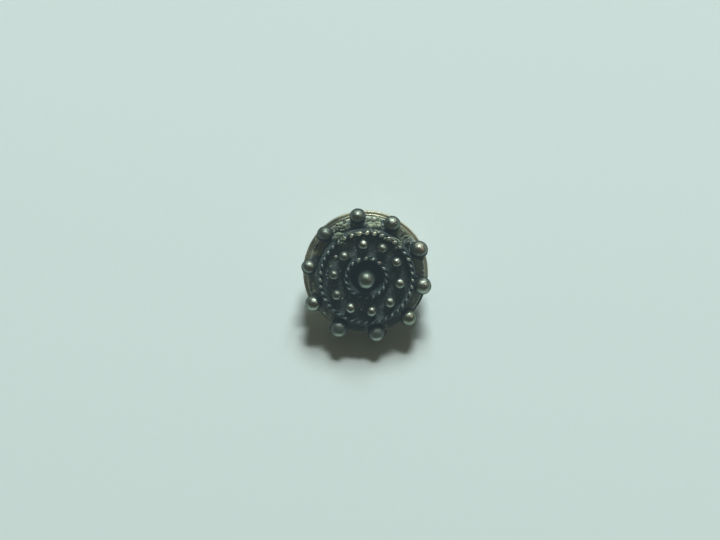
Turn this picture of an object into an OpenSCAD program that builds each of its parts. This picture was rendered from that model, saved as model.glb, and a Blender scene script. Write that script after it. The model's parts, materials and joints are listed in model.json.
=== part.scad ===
/* [Back disc] */
// Diameter of the gilt disc behind the silver button
disc_d = 11.6; // [11.3:0.1:12]
// Thickness of the disc at its rim
disc_t = 0.5; // [0.4:0.05:0.7]
// Height of the round seat that lifts the button off the rim
seat_h = 0.2; // [0.1:0.05:0.3]
// Diameter of that seat
seat_d = 9.8; // [9:0.1:10.2]
// Width of the outer turned ring on the rim
outer_land = 0.18; // [0.14:0.01:0.22]
// Width of the inner turned ring on the rim
inner_land = 0.15; // [0.1:0.01:0.18]
// Width of the fine line between the two rings
line_w = 0.12; // [0.08:0.01:0.16]
// Depth of that line
line_depth = 0.1; // [0.05:0.01:0.15]

/* [Base plate and drum] */
// How far the button sits to the right of the disc's centre
button_right = 0.06; // [0:0.01:0.12]
// How far the button sits below the disc's centre
button_below = 0.05; // [0:0.01:0.12]
// Diameter of the silver base plate
plate_d = 10.9; // [10.6:0.05:11]
// Thickness of the base plate
plate_t = 0.45; // [0.35:0.05:0.6]
// Diameter of the raised drum on the plate
drum_d = 9.1; // [9:0.05:9.2]
// Height of the drum above the plate
drum_h = 1.15; // [0.9:0.05:1.4]
// Diameter of the round well in the middle of the drum
well_d = 3; // [2.6:0.1:3.1]
// Depth of the well
well_depth = 0.45; // [0.2:0.05:0.6]

/* [Boss and centre ball] */
// Diameter of the boss where it leaves the well
boss_d = 2.3; // [1.8:0.1:2.4]
// Diameter of the boss under the centre ball
neck_d = 1.1; // [0.9:0.05:1.2]
// Height of the neck above the top of the drum
neck_h = 0.6; // [0.4:0.05:0.8]
// Diameter of the centre ball
centre_ball_d = 1.68; // [1.5:0.02:1.8]

/* [Small balls] */
// Radius of the ring of small balls on the drum
small_ring_r = 3.15; // [3:0.05:3.3]
// Diameter of a small ball
small_ball_d = 1.06; // [0.9:0.02:1.14]

/* [Twisted wire] */
// Radius of the outer ring of twisted wire
outer_twist_r = 4.25; // [4.15:0.05:4.3]
// Full turns of the twist round the outer ring
outer_turns = 20; // [16:1:24]
// Radius of the inner ring of twisted wire
inner_twist_r = 1.86; // [1.84:0.01:1.95]
// Full turns of the twist round the inner ring
inner_turns = 9; // [7:1:11]
// Diameter of one of the two wires in a twist
wire_d = 0.34; // [0.3:0.01:0.36]

/* [Brooch pin] */
// Distance between the two lugs that hold the pin
lug_spacing = 7.6; // [7:0.1:8]
// Radius of a lug's round end
lug_r = 0.85; // [0.75:0.05:0.9]
// Length of a lug along the pin
lug_w = 1.3; // [1:0.1:1.6]
// Height of the pin above the centre of the disc
pin_rise = 0.6; // [0.4:0.1:0.8]
// Distance from the disc's back to the pin's centre line
pin_drop = 2.7; // [2.5:0.05:2.9]
// Diameter of the pin's wire
pin_d = 0.8; // [0.7:0.05:0.9]
// Width of the flat bar that carries the lugs
bar_w = 1.6; // [1.2:0.1:1.8]
// Thickness of that bar
bar_t = 0.35; // [0.25:0.05:0.45]
// Length of the pin's sharp end beyond the catch
point_length = 1.1; // [0.8:0.1:1.2]

/* [Hidden] */
$fn = 96;

SILVER = [0.30, 0.32, 0.31];
GILT = [0.62, 0.50, 0.33];
BRASS = [0.66, 0.58, 0.40];

// Clearance between pieces that rest on one another
gap = 0.02;
// How far a cutting shape runs past what it cuts
overrun = 1;
// How far a soldered ball sinks, as a share of its radius
ball_sink = 0.15;
// How far a soldered wire sinks into the drum
wire_sink = 0.05;
// Width of a lug between the bar and its round end
lug_neck_w = 1.2;
// Play of the pin's wire in the catch, all round
catch_play = 0.06;
// Width of the pin's tip, as a share of the wire
point_share = 0.2;

// Corners of one wire's cross-section, as directions from its centre
LOBE_ANGLES = [-100, -50, 0, 50, 100];
// Half width of the solder between two wires, as a share of a wire's radius
SOLDER_SHARE = 0.45;
// Cross-sections along one full turn of a twist
SECTIONS_PER_TURN = 10;

// The ten balls on the rim, as measured: direction, distance from the centre
// and radius of each, and the direction of the small ball inside it
RIM_ANGLE = 0;
RIM_REACH = 1;
RIM_RADIUS = 2;
SMALL_ANGLE = 3;
rim_balls = [
    [98, 5.66, 0.76, 95],
    [64, 5.45, 0.77, 62],
    [27, 5.46, 0.84, 28],
    [-10, 5.28, 0.83, -9],
    [-45, 5.57, 0.77, -46],
    [-80, 5.46, 0.81, -81],
    [-117, 5.53, 0.85, -117],
    [-152, 5.51, 0.77, -150],
    [171, 5.34, 0.73, 174],
    [134, 5.46, 0.76, 134],
];

// Spilt grains of solder, as measured: place on the face, height of the
// centre above the base plate, and radius
GRAIN_X = 0;
GRAIN_Y = 1;
GRAIN_RISE = 2;
GRAIN_RADIUS = 3;
solder_grains = [
    [1.88, -5.42, 0.42, 0.22],
    [3.84, 3.05, 0.17, 0.24],
];

// Levels above the face of the disc's rim
plate_z = seat_h + gap;
plate_top = plate_z + plate_t;
drum_top = plate_top + drum_h;
centre_ball_z = drum_top + neck_h + sqrt(pow(centre_ball_d / 2, 2) - pow(neck_d / 2, 2));
twist_z = drum_top + wire_d - wire_sink;

function rim_ball_z(ball) = plate_top + ball[RIM_RADIUS] * (1 - ball_sink);

// The brooch lies on the lower edge of its disc and on the round ends of
// its two lugs, and this is how far the disc then leans from flat
foot_reach = disc_d / 2 + pin_rise;
lean = atan2(pin_drop, foot_reach) + asin(lug_r / norm([foot_reach, pin_drop]));

// Height of the disc's centre when the lower edge touches the ground
lift = disc_d / 2 * sin(lean) + disc_t * cos(lean);

// Reach of the leaning brooch to the sides, to the front and to the back
function ball_up(ball) = ball[RIM_REACH] * sin(ball[RIM_ANGLE]) - button_below;
function ball_y(ball) = ball_up(ball) * cos(lean) - rim_ball_z(ball) * sin(lean);
function ball_x(ball) = ball[RIM_REACH] * cos(ball[RIM_ANGLE]) + button_right;
right_x = max([for (ball = rim_balls) ball_x(ball) + ball[RIM_RADIUS]]);
left_x = min([for (ball = rim_balls) ball_x(ball) - ball[RIM_RADIUS]]);
front_y = min([for (ball = rim_balls) ball_y(ball) - ball[RIM_RADIUS]]);
back_y = disc_d / 2 * cos(lean) + disc_t * sin(lean);

// Sets a piece down as the brooch lies, with the origin under the middle of it
module lying() {
    translate([-(right_x + left_x) / 2, -(front_y + back_y) / 2, lift])
        rotate([lean, 0, 0])
        children();
}

// Cross-section of two wires side by side with solder between them, stretched
// across the line that joins them because the wires run at a slant
function twist_section(wire_r, stretch) = concat(
    [for (a = LOBE_ANGLES) [wire_r + wire_r * cos(a), wire_r * stretch * sin(a)]],
    [[0, wire_r * stretch * SOLDER_SHARE]],
    [for (a = LOBE_ANGLES) [-wire_r - wire_r * cos(a), -wire_r * stretch * sin(a)]],
    [[0, -wire_r * stretch * SOLDER_SHARE]]
);

// A closed ring of two wires twisted round each other
module twisted_ring(ring_r, turns) {
    wire_r = wire_d / 2;
    slant = atan2(wire_r * turns, ring_r);
    section = twist_section(wire_r, 1 / cos(slant));
    corners = len(section);
    sections = turns * SECTIONS_PER_TURN;
    points = [
        for (i = [0 : sections - 1])
        let (around = 360 * i / sections, roll = turns * around)
        for (p = section)
        let (out = ring_r + p.x * cos(roll) - p.y * sin(roll), up = p.x * sin(roll) + p.y * cos(roll))
        [out * cos(around), out * sin(around), up]
    ];
    faces = [
        for (i = [0 : sections - 1])
        let (here = i * corners, there = (i + 1) % sections * corners)
        for (j = [0 : corners - 1])
        let (k = (j + 1) % corners)
        each [[here + j, here + k, there + k], [here + j, there + k, there + j]]
    ];
    polyhedron(points, faces);
}

// A ball with its poles to the sides, clear of the edges that it is soldered to
module melted_ball(radius) {
    rotate([0, -90, 0])
        sphere(r = radius);
}

module rim_ball(ball) {
    rotate([0, 0, ball[RIM_ANGLE]])
        translate([ball[RIM_REACH], 0, rim_ball_z(ball)])
        melted_ball(ball[RIM_RADIUS]);
}

module small_ball(ball) {
    rotate([0, 0, ball[SMALL_ANGLE]])
        translate([small_ring_r, 0, drum_top + small_ball_d / 2 * (1 - ball_sink)])
        melted_ball(small_ball_d / 2);
}

module solder_grain(grain) {
    translate([grain[GRAIN_X], grain[GRAIN_Y], plate_top + grain[GRAIN_RISE]])
        melted_ball(grain[GRAIN_RADIUS]);
}

// The plate and the drum on it, with the well open
module plate_and_drum() {
    difference() {
        translate([0, 0, plate_z]) {
            cylinder(d = plate_d, h = plate_t);
            cylinder(d = drum_d, h = plate_t + drum_h);
        }
        translate([0, 0, drum_top - well_depth])
            cylinder(d = well_d, h = well_depth + overrun);
    }
}

// The tapered boss that rises out of the well, with the centre ball on it
module boss_and_ball() {
    translate([0, 0, drum_top - well_depth - gap])
        cylinder(d1 = boss_d, d2 = neck_d, h = neck_h + well_depth + gap);
    translate([0, 0, centre_ball_z])
        sphere(d = centre_ball_d);
}

// The silver button, soldered into one piece
module button() {
    color(SILVER) lying() translate([button_right, -button_below, 0]) union() {
        plate_and_drum();
        boss_and_ball();
        for (ball = rim_balls) {
            rim_ball(ball);
            small_ball(ball);
        }
        for (grain = solder_grains)
            solder_grain(grain);
        translate([0, 0, twist_z]) {
            twisted_ring(outer_twist_r, outer_turns);
            twisted_ring(inner_twist_r, inner_turns);
        }
    }
}

// The gilt disc, turned with two fine rings on its rim and a seat inside them
module back_disc() {
    disc_r = disc_d / 2;
    line_out = disc_r - outer_land;
    line_in = line_out - line_w;
    ring_in = line_in - inner_land;
    color(GILT) lying()
        rotate_extrude()
        polygon([
            [0, -disc_t],
            [disc_r, -disc_t],
            [disc_r, 0],
            [line_out, 0],
            [line_out - line_w / 2, -line_depth],
            [line_in, 0],
            [ring_in, 0],
            [ring_in - line_depth, -line_depth],
            [seat_d / 2, -line_depth],
            [seat_d / 2, seat_h],
            [0, seat_h],
        ]);
}

// One lug, from the bar to its round end, centred on the pin
module lug() {
    rotate([0, 90, 0])
        cylinder(r = lug_r, h = lug_w, center = true);
    translate([-lug_w / 2, -lug_neck_w / 2, 0])
        cube([lug_w, lug_neck_w, pin_drop - gap - bar_t / 2]);
}

// The lug at the pin's free end is a hook, open towards the lower edge
module catch() {
    difference() {
        lug();
        rotate([0, 90, 0])
            cylinder(d = pin_d + 2 * catch_play, h = 2 * lug_w, center = true);
        translate([-lug_w, -2 * lug_r, -pin_d / 2 - catch_play])
            cube([2 * lug_w, 2 * lug_r, pin_d + 2 * catch_play]);
    }
}

// The pin's wire, from inside its lug to its sharp end
module wire() {
    shaft = lug_spacing + lug_w / 2;
    rotate([0, 90, 0]) {
        cylinder(d = pin_d, h = shaft);
        translate([0, 0, shaft])
            cylinder(d1 = pin_d, d2 = pin_d * point_share, h = point_length);
    }
}

// The fastening behind the disc, one plain piece
module brooch_pin() {
    color(BRASS) lying()
        translate([0, pin_rise, -disc_t - pin_drop]) {
            translate([0, 0, pin_drop - gap - bar_t])
                linear_extrude(bar_t) {
                    square([lug_spacing, bar_w], center = true);
                    for (side = [-1, 1])
                        translate([side * lug_spacing / 2, 0])
                        circle(d = bar_w);
                }
            translate([-lug_spacing / 2, 0, 0])
                lug();
            translate([lug_spacing / 2, 0, 0])
                catch();
            translate([-lug_spacing / 2, 0, 0])
                wire();
        }
}

button();
back_disc();
brooch_pin();
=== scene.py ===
# %% [markdown]
# # A granulated button brooch
#
# The brooch is a small silver button on a gilt disc. Its ornament is granulation: balls of silver
# melted round on charcoal, then soldered on a plate beside rings of twisted wire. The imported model
# already holds every piece at its size and place. This script dresses it: it models each ball, wire
# and sheet again with the marks of handwork, and gives each metal its tarnish.

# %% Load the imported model
import json
import math
import random

import bmesh
import bpy
from mathutils import Matrix, Vector, noise


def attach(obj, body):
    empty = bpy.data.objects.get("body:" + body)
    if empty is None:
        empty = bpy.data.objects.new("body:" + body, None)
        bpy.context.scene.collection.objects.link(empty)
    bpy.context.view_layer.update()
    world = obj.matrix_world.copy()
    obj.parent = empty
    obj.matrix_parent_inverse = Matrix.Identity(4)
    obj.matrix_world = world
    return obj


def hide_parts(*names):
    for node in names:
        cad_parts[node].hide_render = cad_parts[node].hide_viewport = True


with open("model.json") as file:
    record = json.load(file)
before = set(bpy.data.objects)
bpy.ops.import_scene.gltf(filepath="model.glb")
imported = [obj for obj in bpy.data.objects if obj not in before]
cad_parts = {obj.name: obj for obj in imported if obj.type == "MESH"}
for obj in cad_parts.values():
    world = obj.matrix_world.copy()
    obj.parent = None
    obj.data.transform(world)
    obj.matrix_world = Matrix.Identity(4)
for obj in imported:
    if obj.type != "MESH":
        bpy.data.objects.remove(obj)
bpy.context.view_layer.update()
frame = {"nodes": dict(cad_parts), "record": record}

print("nodes", sorted(frame["nodes"]))

# %% [markdown]
# ## Working flat
#
# The brooch lies on the lower edge of its disc and on the pin behind it, so its face leans. It would
# be awkward to model balls on a leaning plate. A goldsmith works with the piece flat, and so does
# this script: every piece is made in millimetres with the face up, and a matrix sets it down. The
# record's `cloth_face` mount gives the lean, because its direction points out of the disc's back.
# The silver button was soldered a hair off the middle of its disc, so it has a matrix of its own.

# %% The face's own axes
MM = 0.001
DISC_R = 5.8
DISC_T = 0.5
MOUNT_BELOW_CENTRE = 3.0
BUTTON_RIGHT = 0.06
BUTTON_BELOW = 0.05

mounts = {m["name"]: m for m in frame["record"]["mounts"]}
back_point = Vector(mounts["cloth_face"]["pos_m"])
face_out = -Vector(mounts["cloth_face"]["axis"])
LEAN = math.atan2(-face_out.y, face_out.z)
face_up = Vector((0, math.cos(LEAN), math.sin(LEAN)))
CENTRE = back_point + face_up * MOUNT_BELOW_CENTRE * MM + face_out * DISC_T * MM
BUTTON_CENTRE = CENTRE + (Vector((1, 0, 0)) * BUTTON_RIGHT - face_up * BUTTON_BELOW) * MM


def lay_down(centre):
    """The matrix that sets a flat piece in millimetres down where the brooch lies."""
    return Matrix.Translation(centre) @ Matrix.Rotation(LEAN, 4, "X") @ Matrix.Scale(MM, 4)


PLACES = {
    "button": lay_down(BUTTON_CENTRE),
    "back_disc": lay_down(CENTRE),
    "brooch_pin": lay_down(CENTRE),
}
print("lean", round(math.degrees(LEAN), 2), "centre in mm", [round(c * 1000, 3) for c in CENTRE])

# %% [markdown]
# ## Sizes
#
# Heights are measured from the face of the disc's rim. They are the same as in the solids.

# %% Sizes in millimetres
SEAT_R = 4.9
SEAT_H = 0.2
PLATE_R = 5.45
PLATE_Z = 0.22
PLATE_TOP = 0.67
DRUM_R = 4.55
DRUM_TOP = 1.82
WELL_R = 1.5
WELL_FLOOR = 1.37
NECK_TOP = 2.42
CENTRE_BALL_R = 0.84
SMALL_BALL_R = 0.53
SMALL_RING_R = 3.15
WIRE_R = 0.17
TWIST_Z = 2.11
OUTER_TWIST = {"ring_r": 4.25, "turns": 20, "start": -0.087}
INNER_TWIST = {"ring_r": 1.86, "turns": 9, "start": 0.375}
SINK = 0.85

# Direction, distance from the centre, radius and polish of each rim ball, and the direction and
# polish of the small ball that stands inside it. Two of the small balls stand nearer the centre.
RIM_BALLS = [
    {"angle": 98, "reach": 5.66, "radius": 0.76, "polish": 0.7, "inner": 95, "inner_polish": 1.7},
    {"angle": 64, "reach": 5.45, "radius": 0.77, "polish": 1.0, "inner": 62, "inner_polish": 0.8},
    {"angle": 27, "reach": 5.46, "radius": 0.84, "polish": 0.9, "inner": 28, "inner_polish": 1.1},
    {"angle": -10, "reach": 5.28, "radius": 0.83, "polish": 1.1, "inner": -9, "inner_polish": 1.1},
    {"angle": -45, "reach": 5.57, "radius": 0.77, "polish": 0.85, "inner": -46, "inner_polish": 0.9},
    {"angle": -80, "reach": 5.46, "radius": 0.81, "polish": 0.2, "inner": -81, "inner_polish": 0.9},
    {"angle": -117, "reach": 5.53, "radius": 0.85, "polish": 0.1, "inner": -117, "inner_polish": 1.0},
    {"angle": -152, "reach": 5.51, "radius": 0.77, "polish": 1.0, "inner": -150, "inner_polish": 0.6},
    {"angle": 171, "reach": 5.34, "radius": 0.73, "polish": 0.8, "inner": 174, "inner_polish": 0.7,
     "inner_reach": 3.0},
    {"angle": 134, "reach": 5.46, "radius": 0.76, "polish": 0.5, "inner": 135, "inner_polish": 0.85,
     "inner_reach": 2.88},
]


def polar(reach, angle, z=0.0):
    """A point on the face from its distance and direction in degrees."""
    a = math.radians(angle)
    return Vector((reach * math.cos(a), reach * math.sin(a), z))


for ball in RIM_BALLS:
    ball["at"] = polar(ball["reach"], ball["angle"], PLATE_TOP + ball["radius"] * SINK)
    inner_reach = ball.get("inner_reach", SMALL_RING_R)
    ball["inner_at"] = polar(inner_reach, ball["inner"], DRUM_TOP + SMALL_BALL_R * SINK)
print(len(RIM_BALLS), "rim balls, the largest", max(b["radius"] * 2 for b in RIM_BALLS), "mm across")

# %% [markdown]
# ## Shader maths as plain expressions
#
# A material is a graph of small nodes. Written out node by node it hides its own meaning, so a
# `Number` wraps a socket and lets Python's operators add the Math nodes: `1 - mask * 0.5` reads as
# what it does. Colours and vectors don't go through Math nodes, which would turn them grey.

# %% Number and Finish


class Number:
    def __init__(self, finish, socket):
        self.finish = finish
        self.socket = socket

    def maths(self, operation, *others, clamp=False):
        inputs = dict(enumerate((self, *others)))
        settings = {"operation": operation, "use_clamp": clamp}
        return Number(self.finish, self.finish.node("Math", settings, inputs).outputs[0])

    def __add__(self, other):
        return self.maths("ADD", other)

    def __sub__(self, other):
        return self.maths("SUBTRACT", other)

    def __rsub__(self, other):
        return (self * -1.0) + other

    def __mul__(self, other):
        return self.maths("MULTIPLY", other)

    def __pow__(self, other):
        return self.maths("POWER", other)

    __radd__ = __add__
    __rmul__ = __mul__

    def clamped(self):
        return self.maths("ADD", 0.0, clamp=True)

    def between(self, low, high):
        """0 below low, 1 above high, smooth in between."""
        settings = {"interpolation_type": "SMOOTHSTEP"}
        inputs = {"Value": self, "From Min": low, "From Max": high}
        return Number(self.finish, self.finish.node("MapRange", settings, inputs).outputs["Result"])


class Finish:
    """One material, with its Principled shader and the coordinates of the flat-lying face in mm."""

    def __init__(self, name, centre=BUTTON_CENTRE):
        self.material = bpy.data.materials.new(name)
        self.material.use_nodes = True
        self.tree = self.material.node_tree
        self.shader = self.tree.nodes["Principled BSDF"]
        objects = self.node("TexCoord").outputs["Object"]
        settings = {"vector_type": "TEXTURE"}
        inputs = {"Vector": objects, "Location": centre, "Rotation": (LEAN, 0, 0), "Scale": (MM, MM, MM)}
        self.face = self.node("Mapping", settings, inputs).outputs["Vector"]

    def node(self, kind, settings=None, inputs=None):
        """A node of a kind, with its settings made first and then its sockets filled or linked."""
        made = self.tree.nodes.new("ShaderNode" + kind)
        for key, value in (settings or {}).items():
            setattr(made, key, value)
        for key, value in (inputs or {}).items():
            self.fill(made.inputs[key], value)
        return made

    def fill(self, socket, value):
        """Links a socket to a number or to another socket, or gives it a plain value."""
        value = value.socket if isinstance(value, Number) else value
        if isinstance(value, bpy.types.NodeSocket):
            self.tree.links.new(value, socket)
        else:
            socket.default_value = value

    def noise(self, scale, detail=3.0, roughness=0.55, at=None):
        place = at or self.face
        inputs = {"Vector": place, "Scale": scale, "Detail": detail, "Roughness": roughness}
        return Number(self, self.node("TexNoise", None, inputs).outputs["Fac"])

    def cells(self, scale):
        """Distance from the nearest of many scattered points."""
        inputs = {"Vector": self.face, "Scale": scale}
        return Number(self, self.node("TexVoronoi", {"feature": "F1"}, inputs).outputs["Distance"])

    def mark(self, name):
        """A number stored on the mesh's points while it was made."""
        return Number(self, self.node("Attribute", {"attribute_name": name}).outputs["Fac"])

    def axes(self):
        parts = self.node("SeparateXYZ", None, {"Vector": self.face}).outputs
        return [Number(self, parts[i]) for i in range(3)]

    def spot(self, x, y, radius):
        """1 at a place on the face, falling to 0 at the radius."""
        px, py, _ = self.axes()
        off = ((px - x) ** 2.0 + (py - y) ** 2.0) ** 0.5
        return 1 - off.between(radius * 0.35, radius)

    def spots(self, places):
        """The sum of several spots, each given as (x, y, radius, strength)."""
        return sum(self.spot(x, y, radius) * strength for x, y, radius, strength in places)

    def mix(self, amount, under, over):
        """A colour between two others. A Mix node keeps its colour sockets at 6, 7 and 2."""
        colours = [(*c, 1) if isinstance(c, tuple) else c for c in (under, over)]
        inputs = {0: amount, 6: colours[0], 7: colours[1]}
        return self.node("Mix", {"data_type": "RGBA"}, inputs).outputs[2]

    def set(self, **values):
        for key, value in values.items():
            self.fill(self.shader.inputs[key.replace("_", " ")], value)

    def bump(self, height, distance_mm, strength=1.0):
        inputs = {"Height": height, "Distance": distance_mm * MM, "Strength": strength}
        self.set(Normal=self.node("Bump", None, inputs).outputs["Normal"])


# %% [markdown]
# ## Oxidised silver
#
# Silver of this kind is blackened with a sulphur bath and then rubbed, so the high places are
# bright and the low ones stay dark. The tarnish is a thin dull crust, so these metals are mixed with
# a diffuse part that takes the lamp's light broadly. The pieces carry two marks on their points,
# made with the mesh: `rubbed`, high on crests and crowns, and `grime`, high in
# corners. On the balls, the worn tops and the grains the first also holds painted light and painted
# reflection, and the second painted shade. Noise breaks both up, because a clean edge between bright
# and dark would look printed. Sheet that was wiped and not polished is blotchy, and `patchy` lets the
# noise decide more there. Tints are places where the photograph shows a colour of its own, such as
# copper coming through or a smear of dirt. Some tints are painted light instead: painted reflections
# on the drum, painted shade on the plate, and painted light at the top of the outer wire.

# %% Oxidised silver
CLOUDS_PER_MM = 0.9
MOTTLES_PER_MM = 4.0
GRAINS_PER_MM = 22
PITS_PER_MM = 8
LUMPS_PER_MM = 2.6
TARNISH_DEPTH = 0.06
GRIME_AND_SHADE = (0.020, 0.030, 0.030)
WIRE_DIRT_AND_SHADE = (0.042, 0.062, 0.062)
VERDIGRIS = (0.33, 0.42, 0.30)
EDGE_DULLING = (0.18, 0.19, 0.16, 1)


def oxidised(name, dull, bright, rubbed_by, rough, metal, tints=(), pitted=0.12, lumpy=0.0,
             patchy=0.0, dirt_and_shade=GRIME_AND_SHADE):
    """Tarnished silver, from its dull and its bright colour.

    Each tint is (x, y, radius, colour, strength) on the face.
    """
    f = Finish(name)
    cloud = f.noise(CLOUDS_PER_MM, 4)
    mottle = f.noise(MOTTLES_PER_MM, 4, 0.6)
    grain = f.noise(GRAINS_PER_MM, 3, 0.6)
    patches = cloud * 0.4 + mottle * 0.5 - 0.5 + (mottle - 0.42) * patchy
    rubbed = (f.mark("rubbed") * rubbed_by + patches).between(0.0, 0.75)
    grime = (f.mark("grime") * 1.25 + mottle * 0.8 - 0.5).between(0.15, 0.9)
    under = f.mix(rubbed, dull, bright)
    for x, y, radius, colour, strength in tints:
        amount = (f.spot(x, y, radius) * strength * (mottle + 0.45)).clamped()
        under = f.mix(amount, under, colour)
    f.set(
        Base_Color=f.mix(grime, under, dirt_and_shade),
        Metallic=(metal + rubbed * 0.35 - grime * 0.5).clamped(),
        Roughness=(rough + grime * 0.22 + (mottle - 0.5) * 0.16 - rubbed * 0.08).clamped(),
        Specular_Tint=EDGE_DULLING,
    )
    pits = f.cells(PITS_PER_MM).between(0.0, 0.25)
    lumps = f.noise(LUMPS_PER_MM, 2, 0.5)
    height = mottle * 0.55 + grain * 0.30 + pits * pitted + lumps * lumpy
    f.bump(height, TARNISH_DEPTH, 0.6)
    return f.material


COPPERY = (0.47, 0.39, 0.30)
REFLECTION_SMEAR = (0.22, 0.30, 0.30)
OLIVE_DIRT = (0.42, 0.46, 0.33)
PALE_OLIVE = (0.92, 0.95, 0.74)
PLATE_TINTS = [
    (-4.7, 2.9, 1.6, OLIVE_DIRT, 1.6),
    (3.5, 4.3, 1.5, (0.20, 0.22, 0.16), 1.2),
    (-3.0, 4.9, 1.2, (0.26, 0.27, 0.20), 0.8),
    (0.72, 4.9, 1.0, VERDIGRIS, 0.8),
    (-2.3, 4.3, 0.9, VERDIGRIS, 0.6),
    (4.5, -2.5, 1.6, (0.50, 0.60, 0.56), 0.9),
    (4.9, 1.0, 1.5, (0.48, 0.58, 0.54), 0.9),
    # The last three patches darken the plate beside ball 9 and along its lower edge below the drum:
    # painted shade.
    (-4.6, 1.3, 0.8, (0.10, 0.12, 0.11), 1.4),
    (-1.2, -5.2, 1.6, (0.12, 0.15, 0.14), 1.4),
    (2.6, -4.6, 1.2, (0.14, 0.17, 0.15), 1.2),
]
# The bluish smears on the drum's top, near the balls, are painted reflections of the balls.
DRUM_TINTS = [
    (0.54, 2.95, 0.42, REFLECTION_SMEAR, 0.9),
    (-1.32, 2.95, 0.45, REFLECTION_SMEAR, 0.6),
    (0.45, 2.19, 0.30, REFLECTION_SMEAR, 0.8),
    (2.2, 2.1, 0.45, REFLECTION_SMEAR, 0.7),
    (-2.0, 3.15, 0.55, REFLECTION_SMEAR, 1.0),
    (-1.2, 2.2, 0.4, REFLECTION_SMEAR, 0.9),
    (2.35, 0.1, 0.45, REFLECTION_SMEAR, 1.5),
    (-3.0, 1.3, 0.6, REFLECTION_SMEAR, 0.8),
]
# The pale olive patch at the top of the outer wire is verdigris, brightened there as painted light where
# the lamp falls.
WIRE_TINTS = [
    (2.6, 3.4, 1.1, COPPERY, 0.6),
    (1.5, 1.6, 0.6, COPPERY, 0.7),
    (-0.4, 4.4, 2.2, PALE_OLIVE, 1.6),
]
BALL_TINTS = [
    (3.9, -3.9, 1.1, (0.30, 0.35, 0.25), 0.6),
    (5.1, 2.9, 0.7, COPPERY, 0.35),
]
DARK_VERDIGRIS = (0.17, 0.23, 0.16)
CRUST_TINTS = [(-2.4, 3.7, 0.9, DARK_VERDIGRIS, 0.9)]

PLATE_SILVER = oxidised(
    "oxidised_plate", (0.28, 0.37, 0.345), (0.66, 0.74, 0.64),
    rubbed_by=0.35, rough=0.48, metal=0.15, tints=PLATE_TINTS, pitted=0.4, lumpy=0.8, patchy=2.2,
)
DRUM_SILVER = oxidised(
    "oxidised_drum", (0.060, 0.088, 0.090), (0.24, 0.31, 0.30),
    rubbed_by=0.2, rough=0.42, metal=0.30, tints=DRUM_TINTS, patchy=2.2,
)
WIRE_SILVER = oxidised(
    "oxidised_wire", (0.085, 0.11, 0.108), (0.45, 0.57, 0.50),
    rubbed_by=0.9, rough=0.46, metal=0.45, tints=WIRE_TINTS, dirt_and_shade=WIRE_DIRT_AND_SHADE,
)
BALL_SILVER = oxidised(
    "oxidised_ball", (0.10, 0.125, 0.105), (0.39, 0.455, 0.385),
    rubbed_by=0.6, rough=0.33, metal=0.80, tints=BALL_TINTS, lumpy=0.5,
)
# A paler copy of the ball metal, for the two least polished balls low on the face: it brightens the
# crescents they mirror from the paper, a painted reflection.
PALE_CRESCENT_SILVER = oxidised(
    "pale_crescent_ball", (0.14, 0.17, 0.15), (0.55, 0.63, 0.53),
    rubbed_by=0.6, rough=0.38, metal=0.70, lumpy=0.5,
)
SOLDER = oxidised(
    "solder", (0.09, 0.11, 0.10), (0.26, 0.28, 0.25), rubbed_by=0.4, rough=0.42, metal=0.5,
)
SPECK = oxidised(
    "rubbed_specks", (0.55, 0.60, 0.54), (0.78, 0.84, 0.76), rubbed_by=1.0, rough=0.35, metal=0.2,
)
CRUST = oxidised(
    "verdigris", DARK_VERDIGRIS, (0.33, 0.40, 0.29),
    rubbed_by=0.8, rough=0.55, metal=0.05, tints=CRUST_TINTS, pitted=0.3, patchy=0.8,
)
print("silver finishes made")

# %% [markdown]
# ## Gilt brass
#
# The disc was turned on a lathe and gilded thinly. The turning lines are rings about the centre, so
# the pattern needs only the distance from the centre. Brown patches show where the gilding wore,
# and one brown patch at the lower right is painted shade. The disc is also darkened along its lower
# edge, which is painted shade too.

# %% Gilt brass
LATHE_LINES_PER_MM = 14
LATHE_DEPTH = 0.02
GILT_CLOUDS_PER_MM = 0.7
GILT_MOTTLES_PER_MM = 6
GILT = (0.68, 0.68, 0.50)
BROWN = (0.17, 0.18, 0.125)
# Brown patches as (x, y, radius, strength): the one at the lower right is painted shade, the others
# wear.
WEAR_AND_SHADE_PATCHES = [(-4.2, 3.9, 2.6, 0.55), (4.9, -3.0, 2.6, 0.65), (-5.5, 0.5, 2.4, 0.2)]
# Darkening along the lower edge, as (x, y, radius, strength): painted shade.
LOWER_EDGE_SHADE = [(3.6, -4.5, 3.6, 0.5), (5.3, -2.5, 2.4, 1.0), (-0.6, -5.6, 3.0, 0.35)]


def gilt_brass(name, worn=0.5):
    """Thin gilding with turning lines, brown where it wore, and with painted shade along the lower edge.
    """
    f = Finish(name, CENTRE)
    x, y, z = f.axes()
    reach = (x * x + y * y) ** 0.5
    rings = f.node("CombineXYZ", None, {"X": reach, "Y": z}).outputs[0]
    lathe_lines = f.noise(LATHE_LINES_PER_MM, 2, 0.5, at=rings)
    cloud = f.noise(GILT_CLOUDS_PER_MM, 3)
    mottle = f.noise(GILT_MOTTLES_PER_MM, 4, 0.6)
    bare_and_shaded = f.mark("grime") * 0.8 + worn * 0.3 + f.spots(WEAR_AND_SHADE_PATCHES)
    brown = (cloud * 0.8 + mottle * 0.5 + bare_and_shaded - 0.75).between(0.0, 0.5)
    edge_shade = f.spots(LOWER_EDGE_SHADE).clamped()
    f.set(
        Base_Color=f.mix(edge_shade, f.mix(brown, GILT, BROWN), GRIME_AND_SHADE),
        Metallic=0.75 - brown * 0.35,
        Roughness=(0.36 + brown * 0.16 + (lathe_lines - 0.5) * 0.15).clamped(),
    )
    f.bump(lathe_lines * 0.8 + mottle * 0.25, LATHE_DEPTH, 0.5)
    return f.material


DISC_GILT = gilt_brass("gilt_disc_finish")
PIN_BRASS = gilt_brass("pin_finish", worn=0.8)

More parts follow.
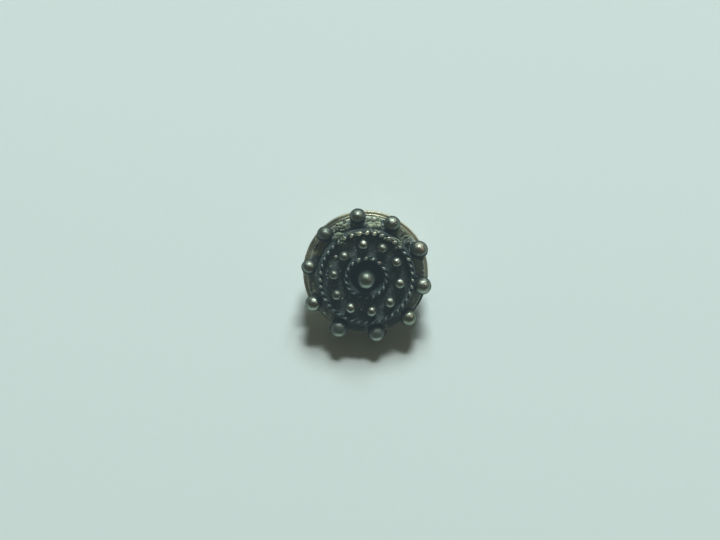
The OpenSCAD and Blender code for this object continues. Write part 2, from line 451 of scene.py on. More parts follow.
# %% [markdown]
# ## Turning helpers
#
# A round piece is a profile spun about the middle. `turned` lays the profile's points on edges, cuts
# long edges so that dents have points to move, and spins them once round. A full spin merges its
# last ring with its first, and points on the axis fall together, so doubles are removed before the
# normals are turned outwards. Every profile starts and ends on the axis or closes on itself, also
# underneath where nothing shows, so each piece is a closed body.

# %% Turning a profile
# How fast each layer of noise gets weaker and finer, and how many layers there are.
NOISE_LAYERS = (0.9, 2.1, 3)
SEED_STEPS = (7.3, 3.1, 5.7)


def turned(profile, spacing, steps=180):
    """A mesh spun from (distance, height) points."""
    bm = bmesh.new()
    points = [bm.verts.new((r, 0, z)) for r, z in profile]
    edges = [bm.edges.new(pair) for pair in zip(points, points[1:])]
    for edge in edges:
        cuts = int(edge.calc_length() / spacing)
        if cuts:
            bmesh.ops.subdivide_edges(bm, edges=[edge], cuts=cuts)
    bmesh.ops.spin(
        bm, geom=bm.verts[:] + bm.edges[:], cent=(0, 0, 0), axis=(0, 0, 1), dvec=(0, 0, 0),
        angle=math.tau, steps=steps, use_merge=True, use_normal_flip=False, use_duplicate=False,
    )
    bmesh.ops.remove_doubles(bm, verts=bm.verts, dist=1e-4)
    bmesh.ops.recalc_face_normals(bm, faces=bm.faces)
    return bm


def soften(bm, width, over=30, segments=3):
    """Rounds each edge where two faces meet at more than a given angle."""
    sharp = [e for e in bm.edges if e.is_manifold and e.calc_face_angle() > math.radians(over)]
    bmesh.ops.bevel(
        bm, geom=sharp, offset=width, offset_type="OFFSET", affect="EDGES",
        segments=segments, profile=0.5, material=-1, clamp_overlap=True,
    )


def uneven(bm, height, size, seed):
    """Moves each point along its normal by smooth noise, as a hammer or the heat would."""
    bm.normal_update()
    shift = Vector([seed * step for step in SEED_STEPS])
    for v in bm.verts:
        v.co += v.normal * noise.fractal(v.co / size + shift, *NOISE_LAYERS) * height


def clipped(value):
    """A number kept between 0 and 1."""
    return max(0.0, min(1.0, value))


def mark_points(bm, **rules):
    """Stores a number on each point, worked out from its place and normal."""
    bm.normal_update()
    for name, rule in rules.items():
        layer = bm.verts.layers.float.new(name)
        for v in bm.verts:
            v[layer] = clipped(rule(v))


def finished(bm, name, material, node):
    """Sets a piece down where the brooch lies, hangs it under the root and hides the solid it dresses.
    """
    bmesh.ops.transform(bm, matrix=PLACES[node], verts=bm.verts)
    mesh = bpy.data.meshes.new(name)
    bm.to_mesh(mesh)
    bm.free()
    mesh.shade_smooth()
    mesh.materials.append(material)
    piece = bpy.data.objects.new(name, mesh)
    bpy.context.scene.collection.objects.link(piece)
    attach(piece, "root")
    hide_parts(node)
    print(name, len(mesh.polygons), "faces")


# %% [markdown]
# ## Grime finds corners
#
# On the real button, dirt and oxide stay beside the balls and along the wires, where a cloth can't
# reach. `near_balls` measures how close a point is to the nearest ball's foot and `near_wire` how
# close it is to a twisted ring. The sheet pieces below turn these into their `grime` mark.

# %% Distance rules
BALL_FOOT = 0.6
BALL_GRIME_WIDTH = 0.45
WIRE_GRIME_WIDTH = 0.55


def fade(distance, width):
    """1 at no distance, falling to 0 over a width."""
    return max(0.0, 1.0 - distance / width) ** 1.5


def reach_of(p):
    """Distance of a point from the middle of the face, measured level."""
    return math.hypot(p.x, p.y)


def beside(p, at, radius):
    """Level distance of a point from the foot of a ball."""
    return math.hypot(p.x - at.x, p.y - at.y) - radius * BALL_FOOT


def near_balls(p):
    if p.z > DRUM_TOP - 0.1:
        gaps = [beside(p, ball["inner_at"], SMALL_BALL_R) for ball in RIM_BALLS]
    else:
        gaps = [beside(p, ball["at"], ball["radius"]) for ball in RIM_BALLS]
    return fade(max(0.0, min(gaps)), BALL_GRIME_WIDTH)


def near_wire(p):
    gaps = [abs(reach_of(p) - twist["ring_r"]) for twist in (OUTER_TWIST, INNER_TWIST)]
    return fade(min(gaps), WIRE_GRIME_WIDTH)


def sheet_grime(v):
    return 0.75 * near_balls(v.co) + 0.6 * near_wire(v.co)


# %% [markdown]
# ## The gilt disc
#
# The disc shows only as a narrow rim. Two round rings are turned in it with a fine line between
# them, and these give the two bright threads at the top of the photograph. A profile with an arc
# for each ring makes them round, where a bevel would leave a flat.

# %% Gilt disc
OUTER_LAND = 0.22
INNER_LAND = 0.18
RING_GAP = 0.05
RING_RISE = 0.035
HIDDEN_R = 5.25


def arc_over(outer_r, width, rise, base, points=7):
    """Points over the top of a round ring, from outside to inside."""
    made = []
    for i in range(points):
        a = math.pi * i / (points - 1)
        made.append((outer_r - width / 2 + width / 2 * math.cos(a), base + rise * math.sin(a)))
    return made


def disc_grime(v):
    """Dirt is packed round the seat, under the plate, where no cloth reaches."""
    return 1.0 if SEAT_R - 0.05 < reach_of(v.co) < HIDDEN_R else 0.1


rim_base = -RING_RISE
inner_ring_r = DISC_R - OUTER_LAND - RING_GAP
disc_profile = [(0, -DISC_T), (DISC_R - 0.04, -DISC_T), (DISC_R, -DISC_T + 0.04)]
disc_profile += arc_over(DISC_R, OUTER_LAND, RING_RISE, rim_base)
disc_profile += arc_over(inner_ring_r, INNER_LAND, RING_RISE, rim_base)
disc_profile += [(SEAT_R, rim_base - 0.02), (SEAT_R, SEAT_H), (0, SEAT_H)]
disc = turned(disc_profile, spacing=0.25, steps=240)
uneven(disc, 0.012, 2.5, seed=1)
mark_points(disc, grime=disc_grime)
finished(disc, "gilt_disc", DISC_GILT, "back_disc")

# %% [markdown]
# ## Base plate
#
# The plate is sawn from sheet and filed round, so its edge is a little soft and its top isn't quite
# flat. It is turned like the disc, its edges are rounded with a bevel, and noise moves its points.

# %% Base plate
plate_profile = [(0, PLATE_Z), (PLATE_R, PLATE_Z), (PLATE_R, PLATE_TOP), (0, PLATE_TOP)]
plate = turned(plate_profile, spacing=0.15)
soften(plate, 0.07)
uneven(plate, 0.035, 0.9, seed=2)
mark_points(
    plate,
    grime=sheet_grime,
    rubbed=lambda v: fade(abs(reach_of(v.co) - PLATE_R), 0.3),
)
finished(plate, "base_plate", PLATE_SILVER, "button")

# %% [markdown]
# ## Drum, with the well in its top
#
# The drum lifts the inner ornament above the rim balls. Its top is the darkest part of the face: it
# is nearly square to the eye, so it mirrors the dark side of the room and not the lamp.

# %% Drum
drum_profile = [
    (0, PLATE_TOP - 0.1),
    (DRUM_R + 0.05, PLATE_TOP - 0.1),
    (DRUM_R, PLATE_TOP + 0.15),
    (DRUM_R, DRUM_TOP),
    (WELL_R, DRUM_TOP),
    (WELL_R - 0.06, WELL_FLOOR),
    (0, WELL_FLOOR),
]
drum = turned(drum_profile, spacing=0.10)
soften(drum, 0.06)
uneven(drum, 0.03, 0.7, seed=3)
mark_points(
    drum,
    grime=lambda v: sheet_grime(v) + (0.8 if v.co.z < DRUM_TOP - 0.15 else 0.0),
    rubbed=lambda v: 0.35 * v.normal.z,
)
finished(drum, "drum", DRUM_SILVER, "button")

# %% [markdown]
# ## Boss
#
# The boss is a cone with hollow sides that rises out of the well and holds the centre ball up. Its
# foot spreads into the solder and its neck closes on the ball, so the profile is a curve and not
# the straight line of a cone.

# %% Boss
FOOT_R = 1.15
NECK_R = 0.52
BOSS_POINTS = 12


def boss_reach(share):
    """Radius of the boss at a share of its height, hollow-sided."""
    return NECK_R + (FOOT_R - NECK_R) * (1 - share) ** 1.7


boss_profile = [(0, WELL_FLOOR - 0.03), (FOOT_R + 0.12, WELL_FLOOR - 0.03)]
for i in range(BOSS_POINTS + 1):
    height = WELL_FLOOR + (NECK_TOP - WELL_FLOOR) * i / BOSS_POINTS
    boss_profile.append((boss_reach(i / BOSS_POINTS), height))
boss_profile.append((0, NECK_TOP))
boss = turned(boss_profile, spacing=0.1, steps=96)
uneven(boss, 0.02, 0.5, seed=4)
# The whole boss is darkened, down in the well under the centre ball: painted shade.
mark_points(boss, grime=lambda v: 1.1, rubbed=lambda v: 0.0)
finished(boss, "boss", DRUM_SILVER, "button")

# %% [markdown]
# ## Twisted wire
#
# Two wires are laid side by side and twisted, and the twist is bent into a ring. The script does
# the same. `spin` with a step along its axis is a screw: it sweeps each wire's section into a helix
# on a straight line. Then every point is bent round, its place along the line becoming an angle.
# Because the wires slant across the line, their section is stretched by the slant first, so that the
# wires come out round. Drawing a twist tight presses it narrower than it is high, and `LAY_WIDTH`
# does that. Small waves that repeat a whole number of times round the ring make the twist uneven and
# still let its ends meet.

# %% Twisted wire
WIRE_SIDES = 14
STEPS_PER_TURN = 20
LAY_WIDTH = 0.7
SLACK = -0.035
WORN_FLAT_AT = 1.75

# Waves round the ring: how many, how high in millimetres, and where they start.
WAVES = [(2, 0.020, 0.4), (5, 0.014, 1.9), (11, 0.010, 3.3)]


def wave(around, shift=0.0):
    return sum(height * math.sin(times * around + phase + shift) for times, height, phase in WAVES)


def laid(around):
    """The lay is tighter on one side of the ring than on the other, and a little uneven all round."""
    return around + wave(around, 2.0) * 0.35 + SLACK * math.cos(around)


def lift(around):
    """How far the twist rises and falls round the ring."""
    return wave(around, 1.0) * 0.7


def twisted_ring(name, ring_r, turns, start):
    bm = bmesh.new()
    length = math.tau * ring_r
    steps = turns * STEPS_PER_TURN
    stretch = 1 / math.cos(math.atan2(WIRE_R * turns, ring_r))
    stretched = Matrix.Scale(stretch, 4, (0, 0, 1))
    # Half a side's turn keeps the two wires' points apart where they touch.
    across = Matrix.Rotation(math.pi / 2, 4, "Y") @ Matrix.Rotation(math.pi / WIRE_SIDES, 4, "Z")
    for side in (-1, 1):
        place = Matrix.Translation((0, side * WIRE_R, 0)) @ stretched @ across
        section = bmesh.ops.create_circle(
            bm, cap_ends=False, segments=WIRE_SIDES, radius=WIRE_R, matrix=place,
        )
        edges = {edge for vert in section["verts"] for edge in vert.link_edges}
        bmesh.ops.spin(
            bm, geom=section["verts"] + list(edges), cent=(0, 0, 0), axis=(1, 0, 0),
            dvec=(length / steps, 0, 0), angle=math.tau * turns, steps=steps,
            use_merge=False, use_normal_flip=False, use_duplicate=False,
        )
    crest = bm.verts.layers.float.new("rubbed")
    hollow = bm.verts.layers.float.new("grime")
    for v in bm.verts:
        off = math.hypot(v.co.y, v.co.z) / (2 * WIRE_R)
        high = v.co.z / (2 * WIRE_R)
        v[crest] = clipped((high - 0.88) / 0.09) * 0.15
        v[hollow] = 0.5 + clipped((1.0 - high) / 0.25) + clipped((0.8 - off) * 2.2)
        around = laid(v.co.x / ring_r + start)
        reach = ring_r + v.co.y * LAY_WIDTH + wave(around)
        height = min(v.co.z, WIRE_R * WORN_FLAT_AT)
        v.co = polar(reach, math.degrees(around), TWIST_Z + height + lift(around))
    bmesh.ops.remove_doubles(bm, verts=bm.verts, dist=2e-3)
    bmesh.ops.recalc_face_normals(bm, faces=bm.faces)
    finished(bm, name, WIRE_SILVER, "button")


twisted_ring("outer_twist", **OUTER_TWIST)
twisted_ring("inner_twist", **INNER_TWIST)

# %% [markdown]
# ## Solder under the wires
#
# Solder runs under a wire when it is fixed, and later dirt packs against it, so the twist stands in
# a bank on both sides. Without it the twist would seem to float. The bank is turned like the other
# round pieces, from the curve of a low mound, and it stops short of the well and of the drum's edge.

# %% Solder banks
BANK_HALF = 0.50
BANK_H = 0.34
BANK_POINTS = 10


def mound(ring_r, outer_half, inner_half):
    """A smooth bank over a ring, from its outer foot to its inner foot and back underneath."""
    made = []
    for i in range(BANK_POINTS + 1):
        across = 1 - 2 * i / BANK_POINTS
        half = outer_half if across > 0 else inner_half
        rise = BANK_H * math.cos(across * math.pi / 2) ** 1.3
        made.append((ring_r + across * half, DRUM_TOP - 0.04 + rise))
    return made + made[:1]


for name, twist in (("outer_solder", OUTER_TWIST), ("inner_solder", INNER_TWIST)):
    outer_half = min(BANK_HALF, DRUM_R - 0.01 - twist["ring_r"])
    inner_half = min(BANK_HALF, twist["ring_r"] - WELL_R - 0.01)
    bank = turned(mound(twist["ring_r"], outer_half, inner_half), spacing=0.1)
    uneven(bank, 0.06, 0.24, seed=5)
    mark_points(bank, grime=lambda v: 0.55, rubbed=lambda v: 0.0)
    finished(bank, name, SOLDER, "button")

# %% [markdown]
# ## Balls
#
# A silver ball draws itself round when it melts, but never perfectly: it has a flat where it sat on
# the charcoal, and rubbing leaves small facets. Each ball starts as an icosphere, whose points are
# even all over. Noise makes it a little uneven, and two shallow flats are pressed in. Every ball
# except the centre one stands in a collar of solder, turned from a hollow curve.
#
# Balls are rubbed bright on their crowns. Every ball is also darkened underneath, and a ball on the
# upper half of the face on the side that faces the wearer too, which is painted shade. A ball on the
# lower half instead gets a brighter metal on that side, which strengthens the crescent where it
# mirrors the pale paper: a painted reflection. So each ball is given its `polish`, and how low it
# sits sets where its painted shade begins. The two balls with the least polish have a paler metal of
# their own, which brightens their crescents: a painted reflection too.

# %% Balls
DENT_DEPTH = 0.035
LEAST_POLISH = 0.2
FINE_MESH_R = 0.8


def silver_ball(name, at, radius, seed, polish, low):
    bm = bmesh.new()
    fineness = 5 if radius > FINE_MESH_R else 4
    bmesh.ops.create_icosphere(bm, subdivisions=fineness, radius=radius)
    flats = [noise.random_unit_vector() for _ in range(2)]
    for v in bm.verts:
        for flat in flats:
            over = v.co.dot(flat) - radius * (1 - DENT_DEPTH)
            if over > 0:
                v.co -= flat * over * 0.8
    uneven(bm, radius * 0.022, radius * 0.9, seed)
    bmesh.ops.smooth_vert(
        bm, verts=bm.verts, factor=0.5, use_axis_x=True, use_axis_y=True, use_axis_z=True,
    )
    bmesh.ops.translate(bm, vec=at, verts=bm.verts)

    def high(v):
        return (v.co.z - at.z) / radius

    def front(v):
        return max(0.0, (at.y - v.co.y) / radius)

    # The crowns are bright from wear. The crescent term gives a low ball a brighter metal on the side
    # that faces the wearer, where it mirrors the paper: a painted reflection.
    def rubbed(v):
        painted_crescent = 2.2 * low * max(0.0, front(v) - 0.3)
        return (0.2 + 0.8 * high(v)) * polish + painted_crescent

    # Darker underneath, and on an upper ball also on the side that faces the wearer: painted shade. Less
    # polish adds real grime.
    def grime(v):
        return 1.25 - 0.3 * polish - 1.5 * high(v) + (2.2 - 3.4 * low) * max(0.0, front(v) - 0.1)

    mark_points(bm, rubbed=rubbed, grime=grime)
    material = PALE_CRESCENT_SILVER if polish <= LEAST_POLISH else BALL_SILVER
    finished(bm, name, material, "button")


def lowness(angle):
    """0 for the balls on the upper half of the face, 1 for those well below the middle."""
    return clipped(0.5 - 2.0 * math.sin(math.radians(angle)))


# %% Collars
COLLAR_FOOT = 1.12
COLLAR_TAPER = 0.32
COLLAR_H = 0.32
COLLAR_POINTS = 6


def solder_collar(name, at, radius, seed, edge_r=None):
    """A hollow-sided collar of solder at a ball's foot, kept on the plate where there is an edge."""
    foot = at.z - radius * SINK
    profile = [(0, foot - 0.05), (radius * COLLAR_FOOT, foot - 0.05)]
    for i in range(COLLAR_POINTS + 1):
        share = i / COLLAR_POINTS
        reach = radius * (COLLAR_FOOT - COLLAR_TAPER * share ** 0.6)
        rise = radius * (COLLAR_H * share ** 1.8)
        profile.append((reach, foot + rise - 0.02))
    profile.append((0, profile[-1][1]))
    bm = turned(profile, spacing=0.2, steps=40)
    bmesh.ops.translate(bm, vec=(at.x, at.y, 0), verts=bm.verts)
    uneven(bm, 0.03, 0.3, seed)
    for v in bm.verts:
        reach = reach_of(v.co)
        if edge_r and reach > edge_r:
            v.co.x *= edge_r / reach
            v.co.y *= edge_r / reach
    mark_points(bm, grime=lambda v: 0.55, rubbed=lambda v: 0.25)
    finished(bm, name, SOLDER, "button")


# %% All the balls
RIM_BALL_SEED = 10
RIM_COLLAR_SEED = 40
SMALL_BALL_SEED = 70
SMALL_COLLAR_SEED = 100
CENTRE_BALL_SEED = 5
CENTRE_BALL_FOOT_R = 0.55
FLATS_SEED = 11

noise.seed_set(FLATS_SEED)
for i, ball in enumerate(RIM_BALLS, start=1):
    at = ball["at"]
    radius = ball["radius"]
    low = lowness(ball["angle"])
    silver_ball(f"rim_ball_{i:02}", at, radius, RIM_BALL_SEED + i, ball["polish"], low)
    solder_collar(f"rim_collar_{i:02}", at, radius, RIM_COLLAR_SEED + i, edge_r=PLATE_R - 0.03)
for i, ball in enumerate(RIM_BALLS, start=1):
    at = ball["inner_at"]
    radius = SMALL_BALL_R
    low = lowness(ball["inner"])
    silver_ball(f"small_ball_{i:02}", at, radius, SMALL_BALL_SEED + i, ball["inner_polish"], low)
    solder_collar(f"small_collar_{i:02}", at, radius, SMALL_COLLAR_SEED + i)
centre_ball_z = NECK_TOP + math.sqrt(CENTRE_BALL_R ** 2 - CENTRE_BALL_FOOT_R ** 2)
centre_at = Vector((0, 0, centre_ball_z))
silver_ball("centre_ball", centre_at, CENTRE_BALL_R, CENTRE_BALL_SEED, polish=0.52, low=0.9)

# %% [markdown]
# ## Verdigris, specks and spilt solder
#
# Copper in the silver and the solder corrodes to a pale green crust where the button isn't rubbed:
# between the balls at the top, and along the outer wire beside them. The crust is a mass of small
# grains, so it is built of grains: low icospheres of random size, pressed flat, crowded in a few
# patches over a thin film. The same helper makes the bright specks on the drum, the spilt grains of
# solder, and the small lumps of tarnish that roughen the plate and the drum.

# %% Grains
GRAIN_SEED = 7

dice = random.Random(GRAIN_SEED)


def grains(name, places, material, squash=0.7, subdivisions=2):
    """A piece made of one small lump for each (x, y, z, radius)."""
    bm = bmesh.new()
    for x, y, z, radius in places:
        spin = Matrix.Rotation(dice.uniform(0, math.tau), 4, "Z")
        tip = Matrix.Rotation(dice.uniform(-0.4, 0.4), 4, "X")
        turn = spin @ tip
        size = Matrix.Diagonal((dice.uniform(0.8, 1.25), dice.uniform(0.8, 1.25), squash, 1))
        place = Matrix.Translation((x, y, z)) @ turn @ size
        bmesh.ops.create_icosphere(bm, subdivisions=subdivisions, radius=radius, matrix=place)
    uneven(bm, 0.03, 0.12, seed=3)
    # Each grain is brighter on top, as wear, and darker underneath: painted shade.
    mark_points(bm, rubbed=lambda v: 0.5 + 0.5 * v.normal.z, grime=lambda v: -v.normal.z)
    finished(bm, name, material, "button")


def scattered(count, x, y, spread_x, spread_y, z, smallest, largest):
    """Places at random in an oval patch of a level sheet."""
    made = []
    for _ in range(count):
        angle = dice.uniform(0, math.tau)
        share = math.sqrt(dice.random())
        px = x + spread_x * share * math.cos(angle)
        py = y + spread_y * share * math.sin(angle)
        made.append((px, py, z + dice.uniform(-0.02, 0.05), dice.uniform(smallest, largest)))
    return made


# %% Verdigris
# Each patch is (count, x, y, spread in x, spread in y, z, smallest, largest).
CRUST_PATCHES = [
    (60, 0.72, 5.02, 0.62, 0.34, PLATE_TOP, 0.12, 0.24),
    (34, 0.72, 4.63, 0.58, 0.10, 1.25, 0.12, 0.24),
    (30, 0.72, 4.80, 0.60, 0.10, 0.92, 0.12, 0.22),
    (16, 0.75, 4.33, 0.50, 0.14, 2.36, 0.06, 0.12),
    (44, -2.30, 4.50, 0.52, 0.34, PLATE_TOP + 0.03, 0.10, 0.20),
    (44, -2.42, 3.72, 0.42, 0.52, 2.28, 0.07, 0.15),
    (26, 2.25, 3.70, 0.62, 0.16, 2.32, 0.05, 0.11),
    (26, 2.95, 3.15, 0.36, 0.42, 2.24, 0.06, 0.12),
    (16, -0.95, 4.20, 0.70, 0.14, 2.34, 0.04, 0.09),
    (10, 0.70, 5.20, 0.12, 0.12, 0.80, 0.12, 0.20),
]
# Each lump, here and below, is (x, y, z, radius).
FILM = [
    (0.45, 4.98, 0.60, 0.45),
    (1.05, 4.92, 0.60, 0.42),
    (-2.35, 4.50, 0.58, 0.46),
    (-2.05, 4.55, 0.58, 0.36),
    (-2.55, 3.80, 2.02, 0.40),
    (-2.25, 3.70, 2.02, 0.34),
]
crust = [place for patch in CRUST_PATCHES for place in scattered(*patch)]
grains("verdigris_crust", crust, CRUST)
grains("verdigris_film", FILM, CRUST, squash=0.34, subdivisions=4)

# %% Specks and solder grains
SPECK_PLACES = [
    (-2.81, 1.91, 1.88, 0.17),
    (-1.88, 3.24, 1.85, 0.06),
    (-2.34, 3.05, 1.85, 0.05),
    (-1.13, 3.62, 1.85, 0.06),
    (-2.16, 2.67, 1.85, 0.05),
    (-0.20, 3.71, 1.88, 0.11),
    (0.72, 5.22, 0.88, 0.16),
]
SPILT_GRAINS = [
    (1.88, -5.42, 1.09, 0.22),
    (3.84, 3.05, 0.84, 0.24),
    (-2.02, 5.12, 0.70, 0.16),
    (-2.02, 4.90, 0.70, 0.16),
    (-4.60, 2.75, 0.70, 0.16),
    (-4.72, 2.50, 0.70, 0.14),
    (5.16, 1.52, 0.70, 0.15),
    (-5.12, -1.45, 0.70, 0.14),
    (-1.56, 1.95, 1.98, 0.26),
]
grains("specks", SPECK_PLACES, SPECK, subdivisions=3)
grains("solder_grains", SPILT_GRAINS, SOLDER, subdivisions=3)

# %% Lumps of tarnish
PLATE_LUMPS = 150
PLATE_BAND = (4.66, 5.25)
DRUM_LUMPS = 60
DRUM_BAND = (2.35, 3.85)
DRUM_SECTOR = (80, 300)

lumps = []
for _ in range(PLATE_LUMPS):
    at = polar(dice.uniform(*PLATE_BAND), dice.uniform(0, 360), PLATE_TOP - 0.01)
    lumps.append((*at, dice.uniform(0.06, 0.15)))
for _ in range(DRUM_LUMPS):
    at = polar(dice.uniform(*DRUM_BAND), dice.uniform(*DRUM_SECTOR), DRUM_TOP + 0.005)
    lumps.append((*at, dice.uniform(0.03, 0.08)))
grains("tarnish_lumps", lumps, PLATE_SILVER, squash=0.6)

# %% [markdown]
# ## Worn tops
#
# Dirt has filled the lay of the twisted rings, so that only the tops of the wires show, as a row of
# separate bright dots. There are two tops for each turn. Each is a small lump drawn out along its
# wire, which crosses the ring at the angle of the lay. The dots are larger towards the upper edge,
# and a short list for each ring says where they are brightened: in part by wear, and in part as
# painted light, strongest at the top of each ring where the lamp falls. Each dot is also darker
# underneath, which is painted shade.

# %% Worn tops
TOP_R = 0.165
TOP_SHAPE = (1.2, 0.9, 0.5, 1)


def wear_and_light(v, worn):
    """How far a place on a ring is brightened by wear and painted light, from a list of (angle, spread,
    strength).
    """
    angle = math.degrees(math.atan2(v.co.y, v.co.x))
    most = 0.0
    for at, spread, strength in worn:
        away = abs((angle - at + 180) % 360 - 180)
        most = max(most, strength * (1 - away / spread))
    return most


def worn_tops(name, worn, ring_r, turns, start):
    bm = bmesh.new()
    lay = math.atan2(WIRE_R * turns, ring_r)
    size = Matrix.Diagonal(TOP_SHAPE)
    for k in range(2 * turns):
        around = laid(math.tau * (k + 0.5) / (2 * turns) + start)
        radius = TOP_R * (0.8 + 0.35 * max(0.0, math.sin(around)) ** 2) * dice.uniform(0.8, 1.15)
        z = TWIST_Z + WIRE_R * 1.7 + lift(around)
        at = polar(ring_r + wave(around), math.degrees(around), z)
        turn = Matrix.Rotation(around + math.pi / 2 + lay, 4, "Z")
        place = Matrix.Translation(at) @ turn @ size
        bmesh.ops.create_icosphere(bm, subdivisions=3, radius=radius, matrix=place)
    uneven(bm, 0.012, 0.1, seed=9)
    mark_points(
        bm,
        rubbed=lambda v: 0.3 + wear_and_light(v, worn),
        grime=lambda v: 0.7 - v.normal.z * 0.5 - 0.9 * wear_and_light(v, worn),
    )
    finished(bm, name, WIRE_SILVER, "button")


# Where the dots are brightened, as (angle, spread, strength): wear, and painted light at the top of each
# ring where the lamp falls.
OUTER_WEAR_AND_LIGHT = [(95, 110, 1.0), (160, 70, 0.7), (5, 70, 0.7)]
INNER_WEAR_AND_LIGHT = [(105, 70, 0.9), (-52, 35, 0.9), (40, 40, 0.6)]
worn_tops("outer_worn_tops", OUTER_WEAR_AND_LIGHT, **OUTER_TWIST)
worn_tops("inner_worn_tops", INNER_WEAR_AND_LIGHT, **INNER_TWIST)

# %% [markdown]
# ## Slivers
#
# Where solder ran and cooled it left thin ridges: three stand alone between the rim balls, and a row
# of three bends round the spilt grain at the upper right. Each ridge is an icosphere drawn out along
# the line between its two ends.

# %% Slivers
SLIVERS = [
    ((-1.97, 5.38), (-1.97, 4.78), 0.22),
    ((-4.67, 3.45), (-4.60, 2.95), 0.16),
    ((3.32, 4.22), (3.48, 3.92), 0.14),
    ((3.36, 3.10), (3.37, 3.46), 0.12),
    ((3.37, 3.42), (3.60, 3.66), 0.12),
    ((3.58, 3.65), (3.90, 3.62), 0.12),
]

ridges = bmesh.new()
for start, end, width in SLIVERS:
    along = Vector(end) - Vector(start)
    middle = (Vector(start) + Vector(end)) / 2
    turn = Matrix.Rotation(math.atan2(along.y, along.x), 4, "Z")
    size = Matrix.Diagonal((along.length + width * 0.5, width, width, 1))
    place = Matrix.Translation((middle.x, middle.y, PLATE_TOP + width * 0.2)) @ turn @ size
    bmesh.ops.create_icosphere(ridges, subdivisions=3, radius=0.5, matrix=place)
uneven(ridges, 0.02, 0.2, seed=8)
# The ridges are darker underneath: painted shade.
mark_points(ridges, rubbed=lambda v: 0.9, grime=lambda v: -v.normal.z)
finished(ridges, "solder_ridges", CRUST, "button")

# %% [markdown]
# ## Brooch pin
#
# The fastening is one plain piece that the photograph hides. Its solid already has the right shape,
# so a copy of it is merged, flat faces are joined again, and a bevel breaks its sharp edges, as a
# few strokes of a file would.

# %% Brooch pin
source = frame["nodes"]["brooch_pin"]
pin = bmesh.new()
pin.from_mesh(source.data)
bmesh.ops.remove_doubles(pin, verts=pin.verts, dist=1e-6)
bmesh.ops.dissolve_limit(pin, angle_limit=math.radians(2), verts=pin.verts, edges=pin.edges)
bmesh.ops.transform(pin, matrix=PLACES["brooch_pin"].inverted(), verts=pin.verts)
soften(pin, 0.04, over=40, segments=2)
mark_points(pin, grime=lambda v: 0.3)
finished(pin, "pin_finding", PIN_BRASS, "brooch_pin")

# %% [markdown]
# ## Paper, lamp and camera
#
# The brooch lies on pale paper. The light comes from a window behind it, high, and a little to the
# right: the bright spots on the balls and the scalloped shadow below them give its direction. The
# window gives the shade and the shadow and isn't seen in the metal. A strip at its top gives the
# shadow a firm core. A white card and a small warm lamp are seen only in reflections, so the size of
# the bright spots can be set without touching the shadow. The camera looks down from the front,
# twelve degrees off the axis of the button.

# %% Paper
PAPER = (0.69, 0.795, 0.785)
PAPER_FIBRE = (0.66, 0.73, 0.70)
PAPER_HALF_WIDTH = 0.6
FIBRES_PER_MM = 3.0

paper_finish = Finish("paper")
fibre = paper_finish.noise(FIBRES_PER_MM, 4, 0.6)
paper_colour = paper_finish.mix(fibre * 0.25, PAPER, PAPER_FIBRE)
paper_finish.set(Base_Color=paper_colour, Roughness=0.75)
paper_finish.bump(fibre, 0.03, 0.3)
paper = bmesh.new()
bmesh.ops.create_grid(paper, x_segments=2, y_segments=2, size=PAPER_HALF_WIDTH)
paper_mesh = bpy.data.meshes.new("paper")
paper.to_mesh(paper_mesh)
paper.free()
paper_mesh.materials.append(paper_finish.material)
paper_object = bpy.data.objects.new("paper", paper_mesh)
bpy.context.scene.collection.objects.link(paper_object)

# %% Lamps and room
ROOM_COLOUR = (0.056, 0.047, 0.025, 1)


def towards(azimuth, elevation):
    """A direction from the brooch. Azimuth 0 is behind it and 90 to its right."""
    a = math.radians(azimuth)
    e = math.radians(elevation)
    return Vector((math.sin(a) * math.cos(e), math.cos(a) * math.cos(e), math.sin(e)))


def lamp(name, azimuth, elevation, distance, width, height, watts, colour, lights="all"):
    """A lit rectangle that faces the brooch. It may light only the shade or only the gloss."""
    data = bpy.data.lights.new(name, "AREA")
    data.shape = "RECTANGLE"
    data.size = width
    data.size_y = height
    data.energy = watts
    data.color = colour
    made = bpy.data.objects.new(name, data)
    made.location = CENTRE + towards(azimuth, elevation) * distance
    made.rotation_mode = "QUATERNION"
    made.rotation_quaternion = towards(azimuth, elevation).to_track_quat("Z", "Y")
    made.visible_diffuse = lights != "gloss"
    made.visible_glossy = lights != "shade"
    bpy.context.scene.collection.objects.link(made)
    print(name, "at", azimuth, "and", elevation, "degrees,", watts, "W")


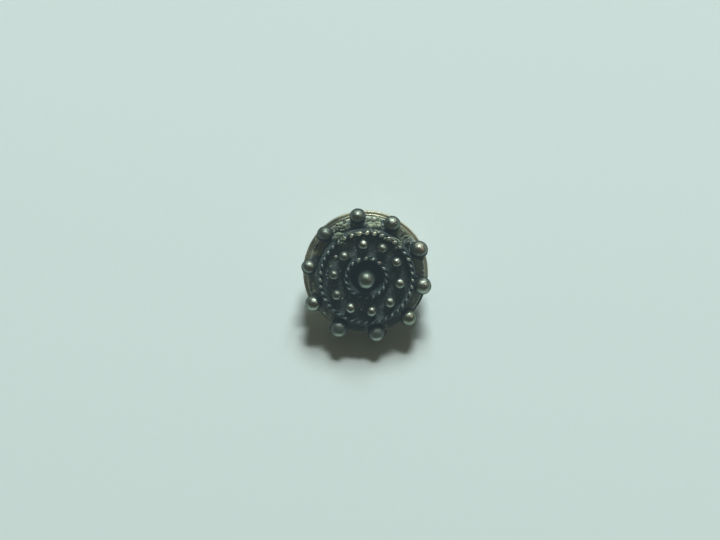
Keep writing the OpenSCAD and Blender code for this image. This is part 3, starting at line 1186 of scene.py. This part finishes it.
lamp(
    "window", azimuth=8.0, elevation=45.5, distance=1.5, width=0.50, height=0.48,
    watts=18.9, colour=(0.905, 1.0, 0.995), lights="shade",
)
lamp(
    "window_top", azimuth=7.4, elevation=52.5, distance=1.5, width=0.34, height=0.09,
    watts=6.4, colour=(0.98, 1.0, 0.96),
)
lamp(
    "white_card", azimuth=8.0, elevation=42, distance=1.0, width=1.45, height=1.5,
    watts=9.5, colour=(0.93, 1.0, 0.95), lights="gloss",
)
lamp(
    "desk_lamp", azimuth=85, elevation=44, distance=0.60, width=0.05, height=0.05,
    watts=0.17, colour=(1.0, 0.78, 0.66), lights="gloss",
)

world = bpy.data.worlds.new("room")
world.use_nodes = True
background = world.node_tree.nodes["Background"]
background.inputs["Color"].default_value = ROOM_COLOUR
background.inputs["Strength"].default_value = 1.0
bpy.context.scene.world = world

# %% Camera
PX_PER_MM = 10.76
IMAGE_W = 720
IMAGE_H = 540
BUTTON_CENTRE_PX = (366.2, 273.0)
OFF_AXIS = 12.0
CAMERA_DISTANCE = 0.28
SENSOR = 36.0

elevation = 90 - math.degrees(LEAN) + OFF_AXIS
look_from = towards(180, elevation)
camera_data = bpy.data.cameras.new("camera")
camera = bpy.data.objects.new("camera", camera_data)
bpy.context.scene.collection.objects.link(camera)
bpy.context.scene.camera = camera
camera.rotation_mode = "QUATERNION"
camera.rotation_quaternion = look_from.to_track_quat("Z", "Y")
right = camera.rotation_quaternion @ Vector((1, 0, 0))
up = camera.rotation_quaternion @ Vector((0, 1, 0))
aim = BUTTON_CENTRE - right * (BUTTON_CENTRE_PX[0] - IMAGE_W / 2) / PX_PER_MM * MM
aim += up * (BUTTON_CENTRE_PX[1] - IMAGE_H / 2) / PX_PER_MM * MM
camera.location = aim + look_from * CAMERA_DISTANCE
camera_data.sensor_width = SENSOR
camera_data.lens = SENSOR * CAMERA_DISTANCE / (IMAGE_W / PX_PER_MM * MM)
camera_data.clip_start = 0.01
print("camera elevation", round(elevation, 1), "lens", round(camera_data.lens, 1))

# %% [markdown]
# ## The lens
#
# Light from the pale paper spreads inside a lens, so nothing in the photograph is quite black. The
# veil is faint and a little blue. It is set as the level below black that the picture starts from.

# %% The lens
VEIL = (-0.017, -0.026, -0.029)

view = bpy.context.scene.view_settings
view.view_transform = "Standard"
view.use_curve_mapping = True
view.curve_mapping.black_level = VEIL
view.curve_mapping.update()
